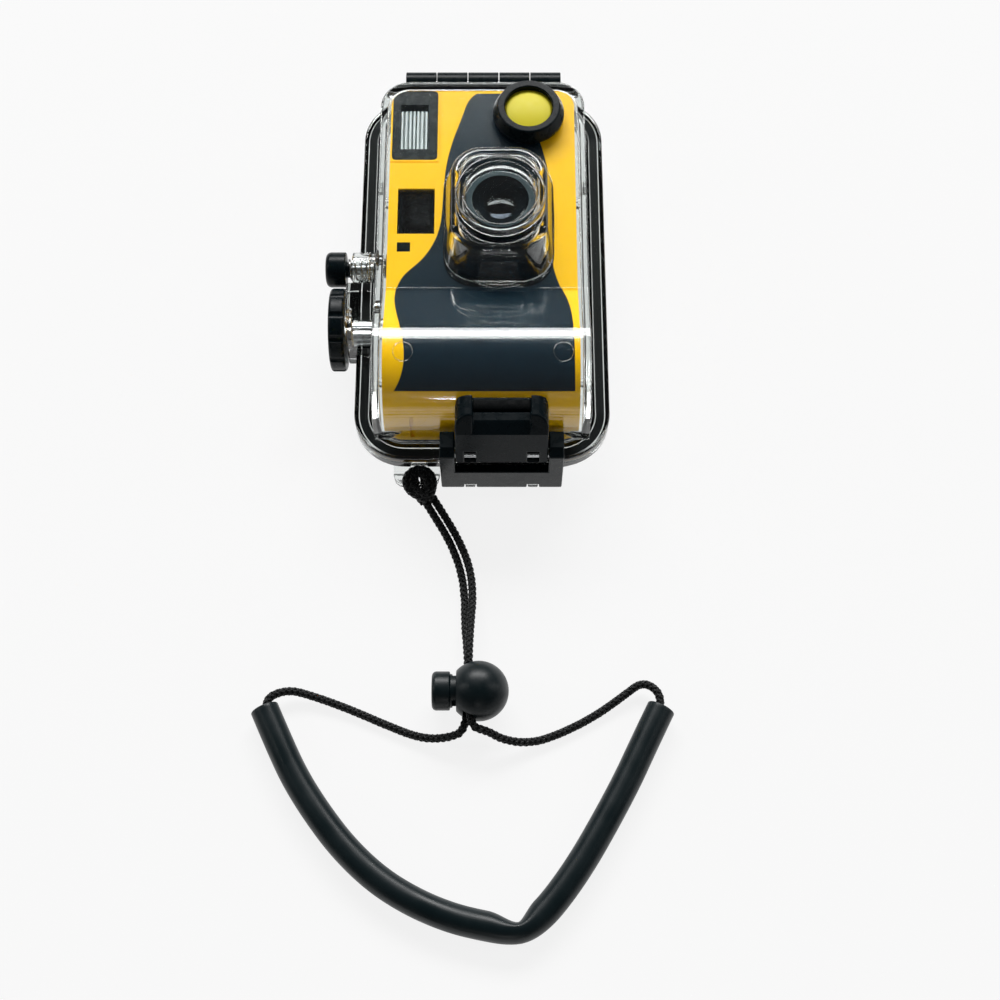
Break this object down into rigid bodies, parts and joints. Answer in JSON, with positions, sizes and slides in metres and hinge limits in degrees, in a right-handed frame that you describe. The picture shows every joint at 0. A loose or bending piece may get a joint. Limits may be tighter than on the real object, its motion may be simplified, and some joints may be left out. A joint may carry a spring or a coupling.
{
  "type": "film camera in a clear underwater housing",
  "caption": "Yellow 35 mm film camera in a hinged clear dive housing with advance knob, shutter and flash buttons, latch, and a corded wrist lanyard.",
  "frame": {"origin": "middle of the housing's flat back, on which it lies", "axes": "+Z out of the lens, +Y along the housing towards its hinge, +X towards the side away from the knob"},
  "size_m": [0.1111, 0.254, 0.0478],
  "materials": {
    "clear_shell": "clear moulded polycarbonate",
    "clear_window": "clear polished acrylic",
    "optic": "polished lens",
    "black_trim": "black nylon, fine texture",
    "black_gloss": "black moulded, smooth",
    "dark_panel": "printed label, satin",
    "yellow_body": "moulded, satin",
    "yellow_rubber": "smooth",
    "black_rubber": "smooth",
    "cord_fabric": "braided",
    "steel": "drawn",
    "bright_steel": "bright",
    "brass": "plain",
    "aluminium": "bright",
    "grey_plastic": "moulded",
    "white_plastic": "moulded",
    "film_base": "film base, satin",
    "board_green": "solder mask",
    "can_metal": "printed can",
    "cell_jacket": "film jacket"
  },
  "bodies": {
    "housing_back": {"rear_shell": "clear_shell", "gasket": "black_rubber", "rear_hinge_leaf": "black_trim", "hinge_pin": "steel", "latch_frame_pin": "steel", "lanyard_cord": "cord_fabric", "lanyard_hitch": "cord_fabric", "cord_lock_body": "black_gloss", "cord_lock_spring": "steel", "wrist_tube": "black_rubber"},
    "housing_front": {"front_shell": "clear_shell", "front_hinge_leaf": "black_trim", "flash_button_ring": "clear_shell", "knob_seal": "black_rubber", "plunger_seal": "black_rubber", "plunger_spring": "steel", "camera_front_cover": "yellow_body", "camera_rear_cover": "black_gloss", "chassis": "grey_plastic", "front_panel": "dark_panel", "lens_housing": "black_gloss", "camera_lens": "optic", "lens_ring": "black_gloss", "viewfinder_tunnel": "grey_plastic", "viewfinder_front_lens": "clear_window", "viewfinder_eyepiece": "clear_window", "indicator_window": "black_gloss", "flash_frame": "black_gloss", "flash_diffuser": "clear_window", "flash_reflector": "aluminium", "flash_tube": "clear_window", "circuit_board": "board_green", "flash_capacitor": "cell_jacket", "battery": "cell_jacket", "battery_contacts": "brass", "film_cartridge": "can_metal", "film_strip": "film_base"},
    "latch_hoop": {"latch_frame": "black_trim", "latch_lever_pin": "steel"},
    "latch_grip": {"latch_lever": "black_trim"},
    "knob": {"advance_knob": "black_trim", "knob_shaft": "steel", "drive_gear": "white_plastic", "knob_screw": "bright_steel"},
    "wheel": {"thumbwheel": "grey_plastic", "cartridge_spool": "white_plastic"},
    "roll": {"film_roll": "film_base", "supply_spool": "grey_plastic"},
    "sprocket_wheel": {"sprocket": "white_plastic"},
    "dial": {"counter_dial": "white_plastic"},
    "shutter_push": {"shutter_cap": "black_trim", "shutter_plunger": "steel", "plunger_clip": "steel"},
    "camera_button": {"camera_shutter_button": "grey_plastic"},
    "blade": {"shutter_blade": "steel"},
    "flash_push": {"flash_button_cap": "yellow_rubber", "flash_pusher": "black_gloss"},
    "flash_slide": {"flash_switch": "grey_plastic"},
    "lock_button": {"cord_lock_button": "black_gloss"}
  },
  "joints": [
    {"name": "shell_hinge", "type": "hinge", "parent": "housing_back", "child": "housing_front", "pos_m": [0, 0.064, 0.017], "axis": [-1, 0, 0], "range_deg": [0, 100]},
    {"name": "latch_hoop_hinge", "type": "hinge", "parent": "housing_back", "child": "latch_hoop", "pos_m": [0, -0.0599, 0.0031], "axis": [1, 0, 0], "range_deg": [0, 60]},
    {"name": "latch_grip_hinge", "type": "hinge", "parent": "latch_hoop", "child": "latch_grip", "pos_m": [0, -0.0595, 0.0189], "axis": [1, 0, 0], "range_deg": [0, 55]},
    {"name": "knob_turn", "type": "hinge", "parent": "housing_front", "child": "knob", "pos_m": [-0.03, -0.0209, 0.018], "axis": [1, 0, 0], "continuous": true},
    {"name": "wheel_turn", "type": "hinge", "parent": "housing_front", "child": "wheel", "pos_m": [-0.02, -0.036, 0.0206], "axis": [1, 0, 0], "continuous": true},
    {"name": "roll_turn", "type": "hinge", "parent": "housing_front", "child": "roll", "pos_m": [0.0038, 0.036, 0.01666], "axis": [1, 0, 0], "continuous": true},
    {"name": "sprocket_turn", "type": "hinge", "parent": "housing_front", "child": "sprocket_wheel", "pos_m": [-0.0117, -0.0182, 0.0107], "axis": [1, 0, 0], "continuous": true},
    {"name": "dial_turn", "type": "hinge", "parent": "housing_front", "child": "dial", "pos_m": [-0.0244, 0.012, 0.017], "axis": [1, 0, 0], "continuous": true},
    {"name": "shutter_press", "type": "slide", "parent": "housing_front", "child": "shutter_push", "axis": [1, 0, 0], "range_m": [0, 0.0016], "stiffness_N_per_m": 600, "springref_m": -0.002, "deforming": ["plunger_spring"]},
    {"name": "camera_button_press", "type": "slide", "parent": "housing_front", "child": "camera_button", "axis": [1, 0, 0], "range_m": [0, 0.0016]},
    {"name": "blade_swing", "type": "hinge", "parent": "housing_front", "child": "blade", "pos_m": [-0.0019, 0.005, 0.0271], "axis": [0, 0, 1], "range_deg": [0, 39]},
    {"name": "flash_press", "type": "slide", "parent": "housing_front", "child": "flash_push", "axis": [0, 0, -1], "range_m": [0, 0.001], "stiffness_N_per_m": 600, "springref_m": -0.002},
    {"name": "flash_switch_press", "type": "slide", "parent": "housing_front", "child": "flash_slide", "axis": [0, 0, -1], "range_m": [0, 0.001]},
    {"name": "cord_lock_press", "type": "slide", "parent": "housing_back", "child": "lock_button", "axis": [1, 0, 0], "range_m": [0, 0.0028], "stiffness_N_per_m": 500, "springref_m": -0.003, "deforming": ["cord_lock_spring"]}
  ],
  "couplings": [
    {"joint": "wheel_turn", "follows": "knob_turn", "ratio": -0.66667},
    {"joint": "roll_turn", "follows": "knob_turn", "ratio": -0.42857},
    {"joint": "sprocket_turn", "follows": "knob_turn", "ratio": -1.8947},
    {"joint": "dial_turn", "follows": "knob_turn", "ratio": -0.05},
    {"joint": "camera_button_press", "follows": "shutter_press", "ratio": 1},
    {"joint": "blade_swing", "follows": "shutter_press", "rad_per_m": 414.52},
    {"joint": "flash_switch_press", "follows": "flash_press", "ratio": 1}
  ]
}
